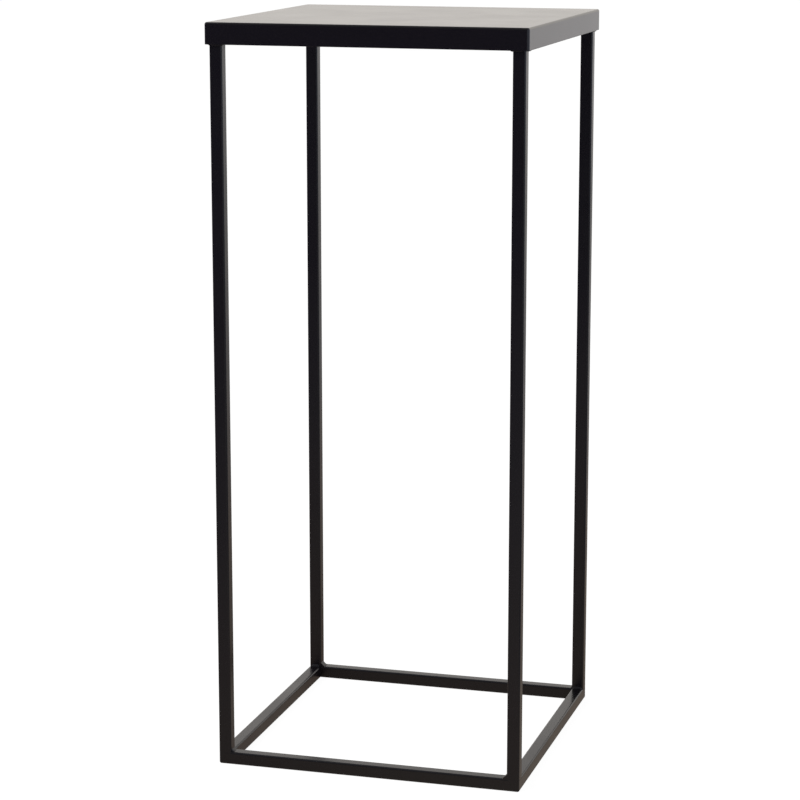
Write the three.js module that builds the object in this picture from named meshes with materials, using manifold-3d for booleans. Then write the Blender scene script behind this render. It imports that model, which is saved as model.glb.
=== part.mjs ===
// A slim open plinth for display: a cap of folded sheet steel on a welded frame of square steel tube.
// Lengths are in millimetres. +Z is up, the front faces -Y and the right side faces +X.
// The origin is the middle of the base, on the floor.

import * as THREE from "three";
import { mergeVertices } from "three/addons/utils/BufferGeometryUtils.js";
import Module from "manifold-3d";

// Overall size
const plinthWidth = 300;
const plinthDepth = 300;
const plinthHeight = 700;

// Square tube, the same stock for legs and rails
const tubeSide = 12;
const tubeWall = 1.2;
const tubeEdgeRadius = 1.8;
const boreEdgeShare = 1 / 3;

// Cap, folded from one sheet, with its four corners welded shut and dressed round
const sheetThickness = 1.5;
const skirtHeight = 20;
const innerBendRadius = 0.5;
const deckCornerEase = 0.5;
const capClearance = 2;

// Fillet welds in the corners between legs and rails
const filletLeg = 4.5;
const filletBulge = 0.3;
const filletEndShare = 0.5;

// Beads that fix each leg to the skirt, along the skirt's lower edge
const skirtBeadDrop = 2;
const skirtBeadRise = 2.5;
const skirtBeadSpread = 3;
const skirtBeadEndShare = 0.25;

// Working values: how far a cutter runs past what it cuts, and how close two points count as one
const cutOverrun = 5;
const joinDistance = 0.001;

// Steps in a round: the tube's edges and the dressed corners share theirs, so that their facets meet
const tubeEdgeSteps = 2;
const capCornerSteps = 3;
const bendSteps = 4;
const beadSteps = 3;

// One powder coat, smooth on the sheet and the tube and a little rougher over the welds
const capCoat = { color: "#1b1b1f", roughness: 0.3 };
const frameCoat = { color: "#1c1b1e", roughness: 0.33 };
const weldCoat = { color: "#1d1c1e", roughness: 0.42 };

// The frame stands inside the cap, and its top ring lies under the deck
const frameWidth = plinthWidth - 2 * (sheetThickness + capClearance);
const frameDepth = plinthDepth - 2 * (sheetThickness + capClearance);
const frameHeight = plinthHeight - sheetThickness;
const legLength = frameHeight - 2 * tubeSide;
const tubeFlat = tubeSide - 2 * tubeEdgeRadius;

// The corner that is modelled once is the rear right one, and the others are its mirror images
const legX = (frameWidth - tubeSide) / 2;
const legY = (frameDepth - tubeSide) / 2;

const wasm = await Module();
wasm.setup();

function toSolid(geometry) {
  const bare = geometry.index ? geometry.toNonIndexed() : geometry.clone();
  bare.deleteAttribute("normal");
  bare.deleteAttribute("uv");
  const merged = mergeVertices(bare, joinDistance);
  return new wasm.Manifold(
    new wasm.Mesh({
      numProp: 3,
      vertProperties: new Float32Array(merged.attributes.position.array),
      triVerts: new Uint32Array(merged.index.array),
    }),
  );
}

function toGeometry(solid) {
  const mesh = solid.getMesh();
  const geometry = new THREE.BufferGeometry();
  geometry.setAttribute("position", new THREE.BufferAttribute(mesh.vertProperties, mesh.numProp));
  geometry.setIndex(new THREE.BufferAttribute(mesh.triVerts, 1));
  const faceted = geometry.toNonIndexed();
  faceted.computeVertexNormals();
  return faceted;
}

// A rectangle centred on the origin, with round corners
function roundedOutline(width, depth, radius) {
  const centreX = width / 2 - radius;
  const centreY = depth / 2 - radius;
  const quarter = Math.PI / 2;
  const outline = new THREE.Shape();
  outline.absarc(centreX, -centreY, radius, -quarter, 0);
  outline.absarc(centreX, centreY, radius, 0, quarter);
  outline.absarc(-centreX, centreY, radius, quarter, 2 * quarter);
  outline.absarc(-centreX, -centreY, radius, 2 * quarter, 3 * quarter);
  return outline;
}

// A length of the tube stock, standing on the XY plane. Without its bore it serves as a cutter.
function tubeStock(length, hollow = true) {
  const outline = roundedOutline(tubeSide, tubeSide, tubeEdgeRadius);
  if (hollow) {
    const bore = tubeSide - 2 * tubeWall;
    outline.holes.push(roundedOutline(bore, bore, tubeEdgeRadius * boreEdgeShare));
  }
  return new THREE.ExtrudeGeometry(outline, {
    depth: length,
    bevelEnabled: false,
    curveSegments: tubeEdgeSteps,
  });
}

// The plan of a mitred rail: its outer face lies on y = 0, and half of each dressed corner is its own
function mitredPlan(length) {
  const halfLength = length / 2;
  const centreX = halfLength - tubeEdgeRadius;
  const onMitre = tubeEdgeRadius * (1 - Math.SQRT1_2);
  const plan = new THREE.Shape();
  plan.moveTo(tubeSide - halfLength, -tubeSide);
  plan.lineTo(halfLength - tubeSide, -tubeSide);
  plan.lineTo(halfLength - onMitre, -onMitre);
  plan.absarc(centreX, -tubeEdgeRadius, tubeEdgeRadius, Math.PI / 4, Math.PI / 2);
  plan.absarc(-centreX, -tubeEdgeRadius, tubeEdgeRadius, Math.PI / 2, (3 * Math.PI) / 4);
  return plan;
}

// A rail lies along X on the XY plane, with its outer face towards +Y
function rail(length, hollow = true) {
  const stock = tubeStock(length, hollow)
    .rotateY(Math.PI / 2)
    .translate(-length / 2, -tubeSide / 2, tubeSide / 2);
  const mitres = new THREE.ExtrudeGeometry(mitredPlan(length), {
    depth: tubeSide + 2 * cutOverrun,
    bevelEnabled: false,
    curveSegments: tubeEdgeSteps / 2,
  }).translate(0, 0, -cutOverrun);
  return toGeometry(toSolid(stock).intersect(toSolid(mitres)));
}

// The dressed seam fills the groove between a leg's square end and the round edges of the two rails
// under it, flush with their outer faces. What the same cut leaves at the inner corner is dropped.
function dressedSeam() {
  const underLeg = new THREE.ExtrudeGeometry(roundedOutline(tubeSide, tubeSide, tubeEdgeRadius), {
    depth: tubeEdgeRadius,
    bevelEnabled: false,
    curveSegments: tubeEdgeSteps,
  }).translate(legX, legY, tubeSide - tubeEdgeRadius);
  const rearRail = rail(frameWidth, false).translate(0, frameDepth / 2, 0);
  const rightRail = rail(frameDepth, false)
    .rotateZ(-Math.PI / 2)
    .translate(frameWidth / 2, 0, 0);
  const pieces = toSolid(underLeg).subtract(toSolid(rearRail)).subtract(toSolid(rightRail)).decompose();
  pieces.sort((a, b) => b.volume() - a.volume());
  return toGeometry(pieces[0]);
}

// A fillet weld along Y, centred on it, with its root on that axis, its foot towards -X and its back
// up against +X. The face bulges a little and the ends are round.
function filletWeld(length) {
  const bulge = 2 * filletBulge * Math.SQRT1_2;
  const endRound = filletLeg * (1 - Math.SQRT1_2) * filletEndShare;
  const section = new THREE.Shape();
  section.moveTo(0, 0);
  section.lineTo(0, filletLeg);
  section.quadraticCurveTo(-filletLeg / 2 - bulge, filletLeg / 2 + bulge, -filletLeg, 0);
  return new THREE.ExtrudeGeometry(section, {
    depth: length - 2 * endRound,
    bevelThickness: endRound,
    bevelSize: endRound,
    bevelOffset: -endRound,
    bevelSegments: beadSteps,
    curveSegments: beadSteps,
  })
    .translate(0, 0, endRound - length / 2)
    .rotateX(Math.PI / 2);
}

// A bead along Y from y = 0, between a leg at x = 0 and the skirt, level with the skirt's lower edge
function skirtBead(length) {
  const radius = capClearance / 2;
  const endRound = capClearance * skirtBeadEndShare;
  const section = new THREE.Shape();
  section.moveTo(0, skirtBeadRise);
  section.absarc(radius, radius - skirtBeadDrop, radius, Math.PI, 2 * Math.PI);
  section.lineTo(capClearance, skirtBeadRise);
  return new THREE.ExtrudeGeometry(section, {
    depth: length - 2 * endRound,
    bevelThickness: endRound,
    bevelSize: endRound,
    bevelOffset: -endRound,
    bevelSegments: beadSteps,
    curveSegments: beadSteps,
  })
    .translate(0, 0, endRound - length)
    .rotateX(Math.PI / 2);
}

// A block with round upright corners and round edges above and below, its top face at topZ
function roundedBlock(width, depth, height, topZ, cornerRadius, edgeRadius) {
  return new THREE.ExtrudeGeometry(roundedOutline(width, depth, cornerRadius), {
    depth: height - 2 * edgeRadius,
    bevelThickness: edgeRadius,
    bevelSize: edgeRadius,
    bevelOffset: -edgeRadius,
    bevelSegments: bendSteps,
    curveSegments: capCornerSteps,
  }).translate(0, 0, topZ - height + edgeRadius);
}

// The folded cap: an outer block, less the room inside it, cut off level at the skirt's lower edge
function foldedCap() {
  const outerBendRadius = innerBendRadius + sheetThickness;
  const innerHeight = skirtHeight + cutOverrun;
  const outer = roundedBlock(
    plinthWidth,
    plinthDepth,
    innerHeight,
    plinthHeight,
    outerBendRadius + deckCornerEase,
    outerBendRadius,
  );
  const room = roundedBlock(
    plinthWidth - 2 * sheetThickness,
    plinthDepth - 2 * sheetThickness,
    innerHeight,
    plinthHeight - sheetThickness,
    innerBendRadius + deckCornerEase,
    innerBendRadius,
  );
  const belowSkirt = new THREE.BoxGeometry(
    plinthWidth + 2 * cutOverrun,
    plinthDepth + 2 * cutOverrun,
    2 * cutOverrun,
  ).translate(0, 0, plinthHeight - skirtHeight - cutOverrun);
  return toGeometry(toSolid(outer).subtract(toSolid(room)).subtract(toSolid(belowSkirt)));
}

function coated(name, geometry, coat) {
  const material = new THREE.MeshStandardMaterial({
    color: coat.color,
    roughness: coat.roughness,
    metalness: 0,
  });
  const mesh = new THREE.Mesh(geometry, material);
  mesh.name = name;
  return mesh;
}

// Four mitred rails that close into a ring, lying on its own XY plane
function railRing(level) {
  const ring = new THREE.Group();
  const sides = [
    { side: "rear", length: frameWidth, x: 0, y: frameDepth / 2, turn: 0 },
    { side: "left", length: frameDepth, x: -frameWidth / 2, y: 0, turn: Math.PI / 2 },
    { side: "front", length: frameWidth, x: 0, y: -frameDepth / 2, turn: Math.PI },
    { side: "right", length: frameDepth, x: frameWidth / 2, y: 0, turn: -Math.PI / 2 },
  ];
  for (const { side, length, x, y, turn } of sides) {
    const mesh = coated(`${level}_rail_${side}`, rail(length), frameCoat);
    mesh.position.set(x, y, 0);
    mesh.rotation.z = turn;
    ring.add(mesh);
  }
  return ring;
}

// The welds that join one end of a leg to its ring: the dressed seam outside and two fillets inside
function legEndWelds(end, corner) {
  const welds = new THREE.Group();
  welds.add(coated(`${end}_seam_${corner.name}`, dressedSeam(), weldCoat));

  const alongY = coated(`${end}_weld_${corner.name}_${corner.sideY}_rail`, filletWeld(tubeFlat), weldCoat);
  alongY.position.set(legX - tubeSide / 2, legY, tubeSide);
  welds.add(alongY);

  const alongX = coated(`${end}_weld_${corner.name}_${corner.sideX}_rail`, filletWeld(tubeFlat), weldCoat);
  alongX.position.set(legX, legY - tubeSide / 2, tubeSide);
  alongX.rotation.z = Math.PI / 2;
  welds.add(alongX);
  return welds;
}

// The beads between the leg's two outer faces and the skirt, each spread past the leg's inner edge
function skirtWelds(corner) {
  const welds = new THREE.Group();
  const length = tubeSide - tubeEdgeRadius + skirtBeadSpread;
  const skirtEdge = plinthHeight - skirtHeight;

  const onSide = coated(`skirt_weld_${corner.name}_${corner.sideX}`, skirtBead(length), weldCoat);
  onSide.position.set(frameWidth / 2, frameDepth / 2 - tubeEdgeRadius, skirtEdge);
  onSide.scale.y = -1;
  welds.add(onSide);

  const onEnd = coated(`skirt_weld_${corner.name}_${corner.sideY}`, skirtBead(length), weldCoat);
  onEnd.position.set(frameWidth / 2 - tubeEdgeRadius, frameDepth / 2, skirtEdge);
  onEnd.rotation.z = Math.PI / 2;
  welds.add(onEnd);
  return welds;
}

// One corner of the frame: a leg, the welds at its foot and head, and its beads to the skirt
function frameCorner(corner) {
  const group = new THREE.Group();
  const leg = coated(`leg_${corner.name}`, tubeStock(legLength), frameCoat);
  leg.position.set(legX, legY, tubeSide);
  group.add(leg);

  group.add(legEndWelds("foot", corner));
  const headWelds = legEndWelds("head", corner);
  headWelds.position.z = frameHeight;
  headWelds.scale.z = -1;
  group.add(headWelds);

  group.add(skirtWelds(corner));
  group.scale.set(corner.mirrorX, corner.mirrorY, 1);
  return group;
}

const plinth = new THREE.Group();

const baseRing = railRing("base");
plinth.add(baseRing);

const topRing = railRing("top");
topRing.position.z = frameHeight - tubeSide;
plinth.add(topRing);

for (const [sideY, mirrorY] of [["front", -1], ["rear", 1]]) {
  for (const [sideX, mirrorX] of [["left", -1], ["right", 1]]) {
    plinth.add(frameCorner({ name: `${sideY}_${sideX}`, sideX, sideY, mirrorX, mirrorY }));
  }
}

plinth.add(coated("top_tray", foldedCap(), capCoat));

export default plinth;
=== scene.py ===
"""A slim open display plinth: a welded frame of square steel tube under a folded steel cap."""

import math

import bmesh
import bpy
from mathutils import Matrix, Vector


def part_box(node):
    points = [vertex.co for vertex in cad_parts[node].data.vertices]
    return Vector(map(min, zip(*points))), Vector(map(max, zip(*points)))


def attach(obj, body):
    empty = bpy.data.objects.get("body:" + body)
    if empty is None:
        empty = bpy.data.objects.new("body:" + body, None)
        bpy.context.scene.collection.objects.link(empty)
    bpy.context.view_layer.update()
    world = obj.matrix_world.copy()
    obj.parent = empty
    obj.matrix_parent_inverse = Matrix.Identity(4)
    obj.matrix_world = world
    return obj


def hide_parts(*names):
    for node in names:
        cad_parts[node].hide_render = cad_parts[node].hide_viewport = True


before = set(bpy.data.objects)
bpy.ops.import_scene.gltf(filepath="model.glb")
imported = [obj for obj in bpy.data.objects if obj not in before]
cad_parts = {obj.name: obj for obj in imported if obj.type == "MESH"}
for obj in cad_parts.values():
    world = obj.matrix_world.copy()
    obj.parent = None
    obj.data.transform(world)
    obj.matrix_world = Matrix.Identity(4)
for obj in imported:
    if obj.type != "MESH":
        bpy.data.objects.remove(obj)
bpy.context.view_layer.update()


# Camera
# It stands to the front right, a little above the deck, where the corners of the plinth in the
# photograph put it, and looks slightly down at the middle of the frame.
mm = 0.001
azimuth = math.radians(15.98)
elevation = math.radians(11.71)
distance = 2540.2 * mm
aim = Vector((-9.5, 0, 331.8)) * mm
film_width_mm = 36
picture_width_px = 800
focal_length_px = 2632.5
nearest_seen = 100 * mm
furthest_seen = 60

camera_data = bpy.data.cameras.new("camera")
camera = bpy.data.objects.new("camera", camera_data)
bpy.context.scene.collection.objects.link(camera)
backwards = Vector((
    math.sin(azimuth) * math.cos(elevation),
    -math.cos(azimuth) * math.cos(elevation),
    math.sin(elevation),
))
camera.location = aim + backwards * distance
camera.rotation_euler = (-backwards).to_track_quat("-Z", "Y").to_euler()
camera_data.sensor_width = film_width_mm
camera_data.lens = film_width_mm * focal_length_px / picture_width_px
camera_data.clip_start = nearest_seen
camera_data.clip_end = furthest_seen
bpy.context.scene.camera = camera


# Base rails
# Four lengths of 12 mm square steel tube with rolled edges, mitred and welded into a ring that lies
# on the floor. The outer corners are dressed round, and the ring is powder coated satin black.
tube_side = 12 * mm
tube_wall = 1.2 * mm
tube_edge_radius = 1.8 * mm
tube_edge_steps = 6
sides = {"front": (0, -1, 0), "rear": (0, 1, 0), "left": (-1, 0, 0), "right": (1, 0, 0)}

# An edge sharper than the first angle is left crisp in the shading, and one sharper than the second
# counts as a square edge
crisp_angle = math.radians(34)
square_angle = math.radians(60)

# How closely a direction has to follow an axis, and how near two places have to be to touch
parallel = 0.999
facing = 0.9
touching = 0.1 * mm


def add_block(name, low, high):
    """A block between two corners: the cube primitive at its size and place."""
    bpy.ops.object.select_all(action="DESELECT")
    low = Vector(low)
    high = Vector(high)
    bpy.ops.mesh.primitive_cube_add(size=1, location=(low + high) / 2, scale=high - low)
    bpy.ops.object.transform_apply(location=True, rotation=True, scale=True)
    block = bpy.context.object
    block.name = block.data.name = name
    return block


def pick(piece, kind, wanted):
    """Edit mode, with only those verts, edges or faces selected for which wanted() is true."""
    bpy.context.view_layer.objects.active = piece
    bpy.ops.object.mode_set(mode="EDIT")
    bpy.ops.mesh.select_mode(type=kind)
    bpy.ops.mesh.select_all(action="DESELECT")
    mesh = bmesh.from_edit_mesh(piece.data)
    for element in {"VERT": mesh.verts, "EDGE": mesh.edges, "FACE": mesh.faces}[kind]:
        if wanted(element):
            element.select_set(True)
    mesh.select_flush_mode()
    bmesh.update_edit_mesh(piece.data)


def leave_edit():
    bpy.ops.object.mode_set(mode="OBJECT")


def everything(element):
    return True


def runs_along(edge, axis):
    """Whether an edge is parallel to X (0), Y (1) or Z (2)."""
    return abs((edge.verts[1].co - edge.verts[0].co).normalized()[axis]) > parallel


def is_level(face):
    """Whether a face looks straight up or down."""
    return abs(face.normal.z) > facing


def middle(edge):
    return (edge.verts[0].co + edge.verts[1].co) / 2


def apply_modifier(piece, kind, **settings):
    bpy.context.view_layer.objects.active = piece
    modifier = piece.modifiers.new(kind.title(), kind)
    for name, value in settings.items():
        setattr(modifier, name, value)
    bpy.ops.object.modifier_apply(modifier=modifier.name)


def copy_of(piece, name, turns=0, pivot=(0, 0, 0), upside_down=False, lift=0):
    """A copy with its own mesh, given quarter turns about an upright line through the pivot, then
    turned over about the X axis, then lifted."""
    bpy.ops.object.select_all(action="DESELECT")
    piece.select_set(True)
    bpy.context.view_layer.objects.active = piece
    bpy.ops.object.duplicate()
    copy = bpy.context.object
    copy.name = copy.data.name = name
    turn = Matrix.Rotation(turns * math.pi / 2, 4, "Z")
    over = Matrix.Rotation(math.pi if upside_down else 0, 4, "X")
    there = Matrix.Translation(Vector(pivot))
    back = Matrix.Translation(-Vector(pivot))
    copy.matrix_world = Matrix.Translation((0, 0, lift)) @ over @ there @ turn @ back
    bpy.ops.object.transform_apply(location=True, rotation=True, scale=True)
    return copy


def finish_piece(piece, node, material, angle=crisp_angle):
    """Smooth shading that keeps flat faces flat, the finish, and the ties to the CAD frame."""
    leave_edit()
    bpy.ops.object.select_all(action="DESELECT")
    piece.select_set(True)
    bpy.context.view_layer.objects.active = piece
    bpy.ops.object.shade_smooth_by_angle(angle=angle)
    apply_modifier(piece, "WEIGHTED_NORMAL", keep_sharp=True, weight=100)
    piece.data.materials.clear()
    piece.data.materials.append(material)
    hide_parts(node)
    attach(piece, "root")


def linear(hex_colour):
    """The linear RGBA of an sRGB hex colour."""
    parts = [int(hex_colour[i:i + 2], 16) / 255 for i in (1, 3, 5)]
    return [c / 12.92 if c <= 0.04045 else ((c + 0.055) / 1.055) ** 2.4 for c in parts] + [1]


def add_node(tree, kind, settings=(), links=()):
    """A node with its options and input values set, and its inputs linked to other outputs."""
    node = tree.nodes.new(kind)
    for name, value in dict(settings).items():
        if isinstance(name, int) or name in node.inputs:
            node.inputs[name].default_value = value
        else:
            setattr(node, name, value)
    for name, output in dict(links).items():
        tree.links.new(output, node.inputs[name])
    return node


def powder_coat(name, roughness, roughness_drift, peel_depth, grain_depth):
    """Satin black polyester powder, sprayed and baked into a closed film about 80 microns thick.
    The eye gets a dry black, a sheen that grows at a low angle, faint orange peel, and a gloss
    that drifts a little over each piece."""
    black = "#0b090d"
    worn_black = "#100d10"
    film_ior = 1.5
    peel_mm = 2.4
    grain_mm = 0.5
    drift_mm = 55

    material = bpy.data.materials.new(name)
    material.use_nodes = True
    tree = material.node_tree
    tree.nodes.clear()
    place = add_node(tree, "ShaderNodeTexCoord")
    in_mm = add_node(tree, "ShaderNodeMapping", {"Scale": [1 / mm] * 3},
                     {"Vector": place.outputs["Object"]})
    at = {"Vector": in_mm.outputs["Vector"]}

    # Orange peel, with the grain of the powder over it. The real grain is near 0.05 mm, too fine
    # to show, and is drawn ten times as coarse.
    peel = add_node(tree, "ShaderNodeTexNoise",
                    {"Scale": 1 / peel_mm, "Detail": 1, "Roughness": 0.4}, at)
    grain = add_node(tree, "ShaderNodeTexNoise",
                     {"Scale": 1 / grain_mm, "Detail": 2, "Roughness": 0.5}, at)
    peel_bump = add_node(tree, "ShaderNodeBump", {"Strength": 1, "Distance": peel_depth},
                         {"Height": peel.outputs["Fac"]})
    grain_bump = add_node(tree, "ShaderNodeBump", {"Strength": 1, "Distance": grain_depth},
                          {"Height": grain.outputs["Fac"], "Normal": peel_bump.outputs["Normal"]})

    # The film's thickness drifts, and the gloss and the depth of the black with it. Most of this
    # noise lies between 0.35 and 0.65.
    drift = add_node(tree, "ShaderNodeTexNoise",
                     {"Scale": 1 / drift_mm, "Detail": 3, "Roughness": 0.55}, at)
    gloss = add_node(tree, "ShaderNodeMapRange",
                     {"From Min": 0.35, "From Max": 0.65,
                      "To Min": roughness - roughness_drift, "To Max": roughness + roughness_drift},
                     {"Value": drift.outputs["Fac"]})
    tone = add_node(tree, "ShaderNodeMix",
                    {"data_type": "RGBA", 6: linear(black), 7: linear(worn_black)},
                    {"Factor": drift.outputs["Fac"]})

    film = add_node(tree, "ShaderNodeBsdfPrincipled", {"IOR": film_ior},
                    {"Base Color": tone.outputs[2], "Roughness": gloss.outputs["Result"],
                     "Normal": grain_bump.outputs["Normal"]})
    add_node(tree, "ShaderNodeOutputMaterial", (), {"Surface": film.outputs["BSDF"]})
    return material


# On drawn tube the coat is satin, with little peel
tube_coat = powder_coat("satin_powder_coat_on_tube", roughness=0.275, roughness_drift=0.03,
                        peel_depth=0.004 * mm, grain_depth=0.001 * mm)

ring_low = Vector((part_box("base_rail_left")[0].x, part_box("base_rail_front")[0].y, 0))
ring_high = Vector((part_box("base_rail_right")[1].x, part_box("base_rail_rear")[1].y, tube_side))


def is_rolled(edge):
    """An edge along one of the rails, or one of the four outer upright corners of the ring."""
    if runs_along(edge, 2):
        return abs(middle(edge).x) > ring_high.x - touching
    return len(edge.link_faces) == 2 and edge.calc_face_angle() > square_angle


ring = add_block("base_ring", ring_low, ring_high)
pick(ring, "FACE", is_level)
bpy.ops.mesh.inset(thickness=tube_side, use_even_offset=True)
bpy.ops.mesh.bridge_edge_loops()
pick(ring, "EDGE", is_rolled)
bpy.ops.mesh.bevel(offset=tube_edge_radius, segments=tube_edge_steps, affect="EDGES")
leave_edit()
solid_ring = copy_of(ring, "solid_ring")
apply_modifier(ring, "SOLIDIFY", thickness=tube_wall, offset=-1, use_even_offset=True)

# Each rail is the ring between two mitres, and the wall is closed at each mitre
rails = {}
for side, outwards in sides.items():
    rail = copy_of(ring, f"rail_{side}")
    for turn in (1, -1):
        along = Vector((-outwards[1], outwards[0], 0)) * turn
        pick(rail, "FACE", everything)
        bpy.ops.mesh.bisect(plane_co=(0, 0, 0), plane_no=along - Vector(outwards), clear_outer=True)
        pick(rail, "EDGE", lambda e: len(e.link_faces) == 1 and middle(e).dot(along) > 0)
        bpy.ops.mesh.bridge_edge_loops()
    leave_edit()
    rails[side] = rail
    base_rail = copy_of(rail, f"coated_base_rail_{side}")
    finish_piece(base_rail, f"base_rail_{side}", tube_coat)
bpy.data.objects.remove(ring)


# Legs
# Four uprights of the same steel tube, cut square at both ends. They are welded onto the corners of
# the base ring, and carry the top ring.
leg_low, leg_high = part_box("leg_front_left")
leg = add_block("leg", leg_low, leg_high)
pick(leg, "EDGE", lambda e: runs_along(e, 2))
bpy.ops.mesh.bevel(offset=tube_edge_radius, segments=tube_edge_steps, affect="EDGES")
pick(leg, "FACE", is_level)
bpy.ops.mesh.delete(type="ONLY_FACE")
leave_edit()
apply_modifier(leg, "SOLIDIFY", thickness=tube_wall, offset=-1, use_even_offset=True)

# Quarter turns about the middle of the plinth take a piece from one corner to the next
corners = ["front_left", "front_right", "rear_right", "rear_left"]
for turns, corner in enumerate(corners):
    piece = copy_of(leg, f"coated_leg_{corner}", turns)
    finish_piece(piece, f"leg_{corner}", tube_coat)
bpy.data.objects.remove(leg)


# Dressed seams
# The groove between the end of a leg and the rolled edges of the rails is filled with weld and
# ground flush, so the leg runs into the ring with no step.

# On weld metal the coat lies thicker and duller, with more peel
weld_coat = powder_coat("satin_powder_coat_on_weld", roughness=0.36, roughness_drift=0.04,
                        peel_depth=0.012 * mm, grain_depth=0.002 * mm)

seam = add_block("foot_seam", (leg_low.x, leg_low.y, tube_side - tube_edge_radius),
                 (leg_high.x, leg_high.y, tube_side))
pick(seam, "EDGE", lambda e: runs_along(e, 2))
bpy.ops.mesh.bevel(offset=tube_edge_radius, segments=tube_edge_steps, affect="EDGES")
leave_edit()
apply_modifier(seam, "BOOLEAN", operation="DIFFERENCE", object=solid_ring, solver="EXACT")

for turns, corner in enumerate(corners):
    foot = copy_of(seam, f"ground_foot_seam_{corner}", turns)
    finish_piece(foot, f"foot_seam_{corner}", weld_coat)


# Welds at the feet
# Two small fillet beads at the foot of each leg, run by hand from inside the frame, one on each
# rail. They keep the ripple of the weld pool under the powder, and each is a little different.
bead_leg = 4.5 * mm
bead_length = tube_side - 2 * tube_edge_radius
bead_smoothing = 2
bead_crisp_angle = math.radians(60)

# The face is hollow, from one toe of the bead to the other
bead_face_share = 0.97
bead_face_steps = 4
bead_face_profile = 0.18

# The ripple: how big each row across the bead is, from end to end
bead_row_shares = [0.4, 0.82, 0.97, 0.94, 1, 0.94, 1, 0.94, 0.97, 0.82, 0.4]

# The hand's wobble moves all of a bead but its foot on the rail
hand_wobble = 0.06 * mm
wobble_above = tube_side + 0.2 * mm

root = Vector((leg_high.x, (leg_low.y + leg_high.y) / 2, tube_side))
bead = add_block("foot_bead", root - Vector((0, bead_length / 2, 0)),
                 root + Vector((bead_leg, bead_length / 2, bead_leg)))
outer_edge = root + Vector((bead_leg, 0, bead_leg))
pick(bead, "EDGE", lambda e: (middle(e) - outer_edge).length < touching)
bpy.ops.mesh.bevel(offset=bead_leg * bead_face_share, segments=bead_face_steps,
                   profile=bead_face_profile, affect="EDGES")
pick(bead, "EDGE", lambda e: runs_along(e, 1))
bpy.ops.mesh.subdivide(number_cuts=len(bead_row_shares) - 2)
row_step = bead_length / (len(bead_row_shares) - 1)
for row, share in enumerate(bead_row_shares):
    y = root.y - bead_length / 2 + row_step * row
    pick(bead, "VERT", lambda v: abs(v.co.y - y) < touching)
    bpy.ops.transform.resize(value=(share, 1, share), center_override=(root.x, y, root.z))
leave_edit()

# The bead on the leg's other face is the first one, turned about the middle of the leg
leg_axis = Vector(((leg_low.x + leg_high.x) / 2, (leg_low.y + leg_high.y) / 2, 0))
bead_size_shares = {
    "front_left_front": 0.55,
    "rear_right_right": 0.5,
    "rear_right_rear": 0.45,
    "rear_left_left": 0.5,
}
bead_stretch_shares = {"rear_right_right": 1.25}


def faces_at(turns, corner):
    """The two sides that meet at a corner, in the order that its quarter turns give them."""
    end, side = corner.split("_")
    return (end, side) if turns % 2 == 0 else (side, end)


beads = {}
for turns, corner in enumerate(corners):
    for other_face, rail in enumerate(faces_at(turns, corner)):
        placed = copy_of(bead, "placed_bead", other_face, leg_axis)
        piece = copy_of(placed, f"bead_foot_{corner}_{rail}", turns)
        bpy.data.objects.remove(placed)
        quarters = turns + other_face
        outwards = Matrix.Rotation(quarters * math.pi / 2, 3, "Z") @ Vector((1, 0, 0))
        foot_axis = Matrix.Rotation(turns * math.pi / 2, 3, "Z") @ leg_axis
        foot_root = foot_axis + outwards * tube_side / 2 + Vector((0, 0, tube_side))
        size = bead_size_shares.get(f"{corner}_{rail}", 1)
        stretch = bead_stretch_shares.get(f"{corner}_{rail}", 1)
        pick(piece, "VERT", lambda v: v.co.z > wobble_above)
        bpy.ops.transform.vertex_random(offset=hand_wobble, seed=quarters + 4 * other_face)
        pick(piece, "VERT", everything)
        bpy.ops.transform.resize(
            value=(size, stretch, size) if quarters % 2 == 0 else (stretch, size, size),
            center_override=foot_root)
        leave_edit()
        beads[f"foot_weld_{corner}_{rail}_rail"] = piece
bpy.data.objects.remove(bead)

# Two beads run out at their near end to the faces of the tubes, with their root sunk into the
# tubes, so that they fill the hollow between the rolled edges
rows_run_out = 4
row_reach = 0.3 * mm
end_rows_reach = 1.2 * mm
run_out_step = 1.6 * mm
rolled_step = 1.0 * mm
root_sunk = 1.5 * mm
run_out_crease = 0.9
for node, away, foot_y in (("foot_weld_front_right_front_rail", -1, root.y),
                           ("foot_weld_rear_left_rear_rail", 1, -root.y)):
    piece = beads[node]
    face_x = away * root.x
    end_y = foot_y - bead_length / 2
    for row, share in enumerate(bead_row_shares[:rows_run_out]):
        y = end_y + row_step * row
        pick(piece, "VERT", lambda v: abs(v.co.y - y) < row_reach)
        bpy.ops.transform.resize(value=(1 / share, 1, 1 / share),
                                 center_override=(face_x, y, tube_side))

    # The two rows at that end go out to the tubes' faces
    pick(piece, "VERT", lambda v: v.co.y < end_y + end_rows_reach)
    bpy.ops.transform.translate(value=(0, -run_out_step, 0))

    # There the bead wraps the leg's rolled edge, and the rail's
    past_end = end_y - row_reach
    pick(piece, "VERT", lambda v: v.co.y < past_end and (v.co.x - face_x) * away < row_reach)
    bpy.ops.transform.translate(value=(-away * rolled_step, 0, 0))
    pick(piece, "VERT", lambda v: v.co.y < past_end and v.co.z < tube_side + row_reach)
    bpy.ops.transform.translate(value=(0, 0, -rolled_step))

    # The root sinks into both tubes
    pick(piece, "VERT", lambda v: (v.co.x - face_x) * away < touching
         and v.co.z < tube_side + touching)
    bpy.ops.transform.translate(value=(-away * root_sunk, 0, -root_sunk))
    pick(piece, "EDGE", lambda e: middle(e).y < end_y - run_out_step + row_reach)
    bpy.ops.transform.edge_crease(value=run_out_crease)
    leave_edit()


def finish_bead(piece, node, smoothing):
    """The last rounding of a weld bead, and its finish."""
    apply_modifier(piece, "SUBSURF", levels=smoothing, render_levels=smoothing)
    finish_piece(piece, node, weld_coat, bead_crisp_angle)


for node, piece in beads.items():
    finish_bead(copy_of(piece, f"bead_{node}"), node, bead_smoothing)


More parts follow.
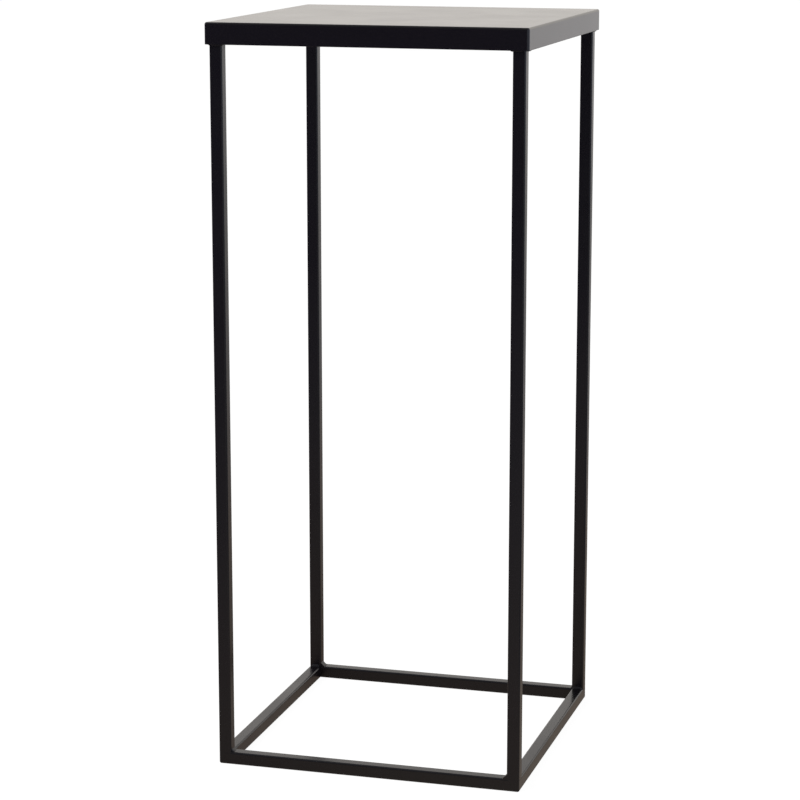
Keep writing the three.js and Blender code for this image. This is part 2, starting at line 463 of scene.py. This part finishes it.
# Top rails
# Four more lengths of the steel tube, mitred and welded into a second ring like the base ring. It
# is hidden inside the cap, and the deck lies on it.
top_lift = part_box("top_rail_front")[0].z
for side, rail in rails.items():
    top_rail = copy_of(rail, f"coated_top_rail_{side}", lift=top_lift)
    finish_piece(top_rail, f"top_rail_{side}", tube_coat)
    bpy.data.objects.remove(rail)


# Welds at the heads
# The heads of the legs are welded to the top ring as the feet are to the base ring, and dressed
# the same way. Turned over about the X axis, front and rear change places.
frame_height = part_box("top_rail_front")[1].z
opposite = {"front": "rear", "rear": "front"}


def turned_name(name):
    """The name of the place that a foot piece comes to when it is turned over to the head."""
    return "_".join(opposite.get(word, word) for word in name.split("_"))


for turns, corner in enumerate(corners):
    head_corner = turned_name(corner)
    head = copy_of(seam, f"ground_head_seam_{head_corner}", turns, upside_down=True,
                   lift=frame_height)
    finish_piece(head, f"head_seam_{head_corner}", weld_coat)
bpy.data.objects.remove(seam)
bpy.data.objects.remove(solid_ring)

for node, piece in beads.items():
    head_node = turned_name(node).replace("foot_weld", "head_weld")
    head = copy_of(piece, f"bead_{head_node}", upside_down=True, lift=frame_height)
    finish_bead(head, head_node, bead_smoothing)
    bpy.data.objects.remove(piece)


# Cap
# A sheet of 1.5 mm steel whose four edges are folded down into a skirt. The four upright corners
# are welded shut and dressed round, and the whole cap is powder coated.
sheet_thickness = 1.5 * mm
bend_radius = 2.0 * mm
bend_steps = 8
corner_radius = 3.0 * mm
corner_steps = 8
rim_radius = 0.3 * mm
rim_steps = 3

# On flat sheet the coat flows out best: the glossiest of the three, with the least peel
cap_coat = powder_coat("satin_powder_coat_on_sheet", roughness=0.18, roughness_drift=0.008,
                       peel_depth=0.0025 * mm, grain_depth=0.0007 * mm)

cap_low, cap_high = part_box("top_tray")
cap = add_block("folded_cap", cap_low, cap_high)
pick(cap, "EDGE", lambda e: runs_along(e, 2))
bpy.ops.mesh.bevel(offset=corner_radius, segments=corner_steps, affect="EDGES")
pick(cap, "EDGE", lambda e: middle(e).z > cap_high.z - touching)
bpy.ops.mesh.bevel(offset=bend_radius, segments=bend_steps, affect="EDGES")
pick(cap, "FACE", lambda f: f.normal.z < -facing)
bpy.ops.mesh.delete(type="ONLY_FACE")
leave_edit()
apply_modifier(cap, "SOLIDIFY", thickness=sheet_thickness, offset=-1, use_even_offset=True)
pick(cap, "EDGE", lambda e: middle(e).z < cap_low.z + touching
     and e.calc_face_angle() > square_angle)
bpy.ops.mesh.bevel(offset=rim_radius, segments=rim_steps, affect="EDGES")
finish_piece(cap, "top_tray", cap_coat)


# Beads under the skirt
# Where a leg passes behind the lower edge of the skirt, two short beads fill the 2 mm gap between
# them and fix the cap to the frame. Their inner ends run out beside the leg.
skirt_bead_round_share = 0.46
skirt_bead_round_steps = 4
skirt_bead_smoothing = 1
skirt_bead_wobble = 0.08 * mm

# How deep each row hangs, from the outer end of a bead to the inner one
skirt_bead_row_shares = [0.55, 0.75, 1, 0.94, 1, 0.94, 1, 0.94, 1, 0.7, 0.35]

bead_low, bead_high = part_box("skirt_weld_front_left_front")
skirt_bead = add_block("skirt_bead", bead_low, bead_high)
pick(skirt_bead, "EDGE", lambda e: runs_along(e, 0) and middle(e).z < bead_low.z + touching)
bpy.ops.mesh.bevel(offset=(bead_high.y - bead_low.y) * skirt_bead_round_share,
                   segments=skirt_bead_round_steps, affect="EDGES")
pick(skirt_bead, "EDGE", lambda e: runs_along(e, 0))
bpy.ops.mesh.subdivide(number_cuts=len(skirt_bead_row_shares) - 2)
for row, share in enumerate(skirt_bead_row_shares):
    x = bead_low.x + (bead_high.x - bead_low.x) * row / (len(skirt_bead_row_shares) - 1)
    pick(skirt_bead, "VERT", lambda v: abs(v.co.x - x) < touching)
    bpy.ops.transform.resize(value=(1, 1, share), center_override=(x, bead_low.y, bead_high.z))
leave_edit()

# The bead on the corner's other face is its mirror image, with X and Y swapped
x_for_y = Matrix(((0, 1, 0, 0), (1, 0, 0, 0), (0, 0, 1, 0), (0, 0, 0, 1)))
merging = 0.01 * mm
second = copy_of(skirt_bead, "second_skirt_bead")
second.matrix_world = x_for_y
bpy.ops.object.transform_apply(location=True, rotation=True, scale=True)
pick(second, "FACE", everything)
bpy.ops.mesh.remove_doubles(threshold=merging)
bpy.ops.mesh.normals_make_consistent(inside=False)
leave_edit()

# How much of each bead hangs below the rim of the skirt, against the first one
bead_drop_shares = {"front_left": 0.8, "front_right": 0.5, "rear_right": 0.7, "rear_left": 0.8}
rim_z = cap_low.z
for turns, corner in enumerate(corners):
    faces = faces_at(turns, corner)
    for number, (source, face) in enumerate(zip((skirt_bead, second), faces)):
        piece = copy_of(source, f"bead_skirt_{corner}_{face}", turns)
        pick(piece, "VERT", lambda v: v.co.z < rim_z)
        bpy.ops.transform.resize(value=(1, 1, bead_drop_shares[corner]),
                                 center_override=(0, 0, rim_z))
        bpy.ops.transform.vertex_random(offset=skirt_bead_wobble, seed=2 * turns + number)
        leave_edit()
        finish_bead(piece, f"skirt_weld_{corner}_{face}", skirt_bead_smoothing)
bpy.data.objects.remove(skirt_bead)
bpy.data.objects.remove(second)


# Floor
# A plain pale floor, white to the camera but for a trace of the plinth's shadow. To the gloss it
# shows painted
# shade and light: a painted shadow, dim and warm near the plinth and pale far behind it, painted
# shade, dim and cool, to the right as far as the window's painted glare, and at the front left
# painted shade where it is lost in the dim room.
floor_half = 30
floor_colour = "#e9e7e4"
camera_lift = 0.85
white_strength = 1.1

# Its tones for the gloss, by the distance in metres from a point at the rear left of the plinth: a
# painted shadow of the plinth, darkest near that point and paling away from it
plinth_shadow_point = Vector((-0.3, 0.3, 0))
ramp_reach = 12
gloss_stops = [(0.22, "#807165"), (0.34, "#9b8e83"), (0.47, "#978a7f"), (0.58, "#a3978b"),
               (0.7, "#a19389"), (1.7, "#b6b2b0"), (4.5, "#c0bdb9"), (7, "#edeaea")]

# Painted shade: the floor darkens into the dim room, which begins across a line at the front left,
# and this is the way out of it
room_shade_tone = "#4a4860"
way_out_of_room = (0.8, 0.77, 0)
room_edge = {"From Min": -2.15, "From Max": -0.1}

# The painted shade on the floor to the right starts a little away from the plinth, and the window's
# painted glare lies metres off
side_shade_tone = "#68686f"
side_sector = {"From Min": 0.35, "From Max": 0.7}
side_from = {"From Min": 0.65, "From Max": 1.2}
window_tone = "#dfe8ff"
glare_from = {"From Min": 6, "From Max": 10}
softly = {"interpolation_type": "SMOOTHSTEP"}

bpy.ops.object.select_all(action="DESELECT")
bpy.ops.mesh.primitive_plane_add(size=2 * floor_half, location=(0, 0, 0))
floor = bpy.context.object
floor.name = floor.data.name = "floor"

floor_paint = bpy.data.materials.new("pale_matt_floor")
floor_paint.use_nodes = True
tree = floor_paint.node_tree
tree.nodes.clear()
place = add_node(tree, "ShaderNodeTexCoord")
from_point = add_node(tree, "ShaderNodeMapping", {"Location": -plinth_shadow_point},
                      {"Vector": place.outputs["Object"]})
away = add_node(tree, "ShaderNodeVectorMath", {"operation": "LENGTH"},
                {0: from_point.outputs["Vector"]})
reach = add_node(tree, "ShaderNodeMath", {"operation": "DIVIDE", 1: ramp_reach},
                 {0: away.outputs["Value"]})
tone = add_node(tree, "ShaderNodeValToRGB", (), {"Fac": reach.outputs["Value"]})
stops = tone.color_ramp.elements
for number, (metres, colour) in enumerate(gloss_stops):
    stop = stops[number] if number < 2 else stops.new(metres / ramp_reach)
    stop.position = metres / ramp_reach
    stop.color = linear(colour)

# The painted shade of the dim room, at the front left
outwards = add_node(tree, "ShaderNodeVectorMath",
                    {"operation": "DOT_PRODUCT", 1: way_out_of_room},
                    {0: place.outputs["Object"]})
out_of_room = add_node(tree, "ShaderNodeMapRange", room_edge, {"Value": outwards.outputs["Value"]})
in_room = add_node(tree, "ShaderNodeMix", {"data_type": "RGBA", 6: linear(room_shade_tone)},
                   {"Factor": out_of_room.outputs["Result"], 7: tone.outputs["Color"]})

# The floor to the right in painted shade, with the window's cool glare painted on it far off
heading = add_node(tree, "ShaderNodeVectorMath", {"operation": "NORMALIZE"},
                   {0: place.outputs["Object"]})
parts = add_node(tree, "ShaderNodeSeparateXYZ", (), {"Vector": heading.outputs["Vector"]})
rightwards = add_node(tree, "ShaderNodeMapRange", {**softly, **side_sector},
                      {"Value": parts.outputs["X"]})
clear_of_plinth = add_node(tree, "ShaderNodeMapRange", {**softly, **side_from},
                           {"Value": away.outputs["Value"]})
to_the_side = add_node(tree, "ShaderNodeMath", {"operation": "MULTIPLY"},
                       {0: rightwards.outputs["Result"], 1: clear_of_plinth.outputs["Result"]})
far_off = add_node(tree, "ShaderNodeMapRange", {**softly, **glare_from},
                   {"Value": away.outputs["Value"]})
side_floor = add_node(tree, "ShaderNodeMix",
                      {"data_type": "RGBA", 6: linear(side_shade_tone), 7: linear(window_tone)},
                      {"Factor": far_off.outputs["Result"]})
with_side = add_node(tree, "ShaderNodeMix", {"data_type": "RGBA"},
                     {"Factor": to_the_side.outputs["Value"], 6: in_room.outputs[2],
                      7: side_floor.outputs[2]})
gloss_tone = add_node(tree, "ShaderNodeEmission", {"Strength": 1}, {"Color": with_side.outputs[2]})

# The camera, the gloss, and the light that the floor throws back each get their own floor
rays = add_node(tree, "ShaderNodeLightPath")
mirrored = add_node(tree, "ShaderNodeMath", {"operation": "ADD", "use_clamp": True},
                    {0: rays.outputs["Is Glossy Ray"], 1: rays.outputs["Is Transmission Ray"]})
lit = add_node(tree, "ShaderNodeBsdfDiffuse", {"Color": linear(floor_colour)})
white = add_node(tree, "ShaderNodeEmission", {"Color": (1, 1, 1, 1), "Strength": white_strength})
lift = add_node(tree, "ShaderNodeMath", {"operation": "MULTIPLY", 1: camera_lift},
                {0: rays.outputs["Is Camera Ray"]})
seen = add_node(tree, "ShaderNodeMixShader", (),
                {"Fac": lift.outputs["Value"], 1: lit.outputs["BSDF"],
                 2: white.outputs["Emission"]})
surface = add_node(tree, "ShaderNodeMixShader", (),
                   {"Fac": mirrored.outputs["Value"], 1: seen.outputs["Shader"],
                    2: gloss_tone.outputs["Emission"]})
add_node(tree, "ShaderNodeOutputMaterial", (), {"Surface": surface.outputs["Shader"]})
floor.data.materials.append(floor_paint)


# Studio
# Warm white paper hangs behind the plinth, a cool window is on the right, and the room in front is
# dim under a grey ceiling. A big soft lamp stands high at the front left, and the window throws a
# little light.
paper_tone = "#fdf8f2"
wall_tone = "#4a4a50"
ceiling_tone = "#a2a3a8"
window_sector = {"From Min": 0.45, "From Max": 0.85}
paper_sector = {"From Min": -0.1, "From Max": 0.5}
ceiling_from = {"From Min": 0.2, "From Max": 0.9}
ambient_strength = 0.65

world = bpy.data.worlds.new("studio")
bpy.context.scene.world = world
world.use_nodes = True
tree = world.node_tree
tree.nodes.clear()
direction = add_node(tree, "ShaderNodeTexCoord")
parts = add_node(tree, "ShaderNodeSeparateXYZ", (), {"Vector": direction.outputs["Generated"]})
beside = add_node(tree, "ShaderNodeMapRange", {**softly, **window_sector},
                  {"Value": parts.outputs["X"]})
behind = add_node(tree, "ShaderNodeMapRange", {**softly, **paper_sector},
                  {"Value": parts.outputs["Y"]})
above = add_node(tree, "ShaderNodeMapRange", ceiling_from, {"Value": parts.outputs["Z"]})
walls = add_node(tree, "ShaderNodeMix",
                 {"data_type": "RGBA", 6: linear(wall_tone), 7: linear(paper_tone)},
                 {"Factor": behind.outputs["Result"]})
with_window = add_node(tree, "ShaderNodeMix", {"data_type": "RGBA", 7: linear(window_tone)},
                       {"Factor": beside.outputs["Result"], 6: walls.outputs[2]})
room = add_node(tree, "ShaderNodeMix", {"data_type": "RGBA", 7: linear(ceiling_tone)},
                {"Factor": above.outputs["Result"], 6: with_window.outputs[2]})

# The gloss shows the room, the camera sees white, and an even light reaches everything else
rays = add_node(tree, "ShaderNodeLightPath")
mirrored = add_node(tree, "ShaderNodeMath", {"operation": "ADD", "use_clamp": True},
                    {0: rays.outputs["Is Glossy Ray"], 1: rays.outputs["Is Transmission Ray"]})
ambient = add_node(tree, "ShaderNodeBackground",
                   {"Color": (1, 1, 1, 1), "Strength": ambient_strength})
in_gloss = add_node(tree, "ShaderNodeBackground", {"Strength": 1}, {"Color": room.outputs[2]})
in_camera = add_node(tree, "ShaderNodeBackground", {"Color": (1, 1, 1, 1), "Strength": 1})
gloss_or_not = add_node(tree, "ShaderNodeMixShader", (),
                        {"Fac": mirrored.outputs["Value"], 1: ambient.outputs["Background"],
                         2: in_gloss.outputs["Background"]})
all_rays = add_node(tree, "ShaderNodeMixShader", (),
                    {"Fac": rays.outputs["Is Camera Ray"], 1: gloss_or_not.outputs["Shader"],
                     2: in_camera.outputs["Background"]})
add_node(tree, "ShaderNodeOutputWorld", (), {"Surface": all_rays.outputs["Shader"]})

lamp_target = Vector((0, 0, 0.35))


def add_lamp(name, place, size, power, colour):
    """A soft square lamp that faces the middle of the plinth. It gives light, and the gloss shows
    the room without it, so that no hard spot lies on the coat."""
    lamp_data = bpy.data.lights.new(name, "AREA")
    lamp_data.shape = "SQUARE"
    lamp_data.size = size
    lamp_data.energy = power
    lamp_data.color = linear(colour)[:3]
    lamp = bpy.data.objects.new(name, lamp_data)
    bpy.context.scene.collection.objects.link(lamp)
    lamp.visible_glossy = False
    lamp.location = place
    lamp.rotation_euler = (lamp_target - Vector(place)).to_track_quat("-Z", "Y").to_euler()


add_lamp("key", place=(-2.4, -2.2, 2.8), size=1.6, power=90, colour="#ffffff")
add_lamp("window", place=(3.2, -1.0, 0.9), size=1.4, power=30, colour=window_tone)

bpy.context.scene.view_settings.view_transform = "Standard"
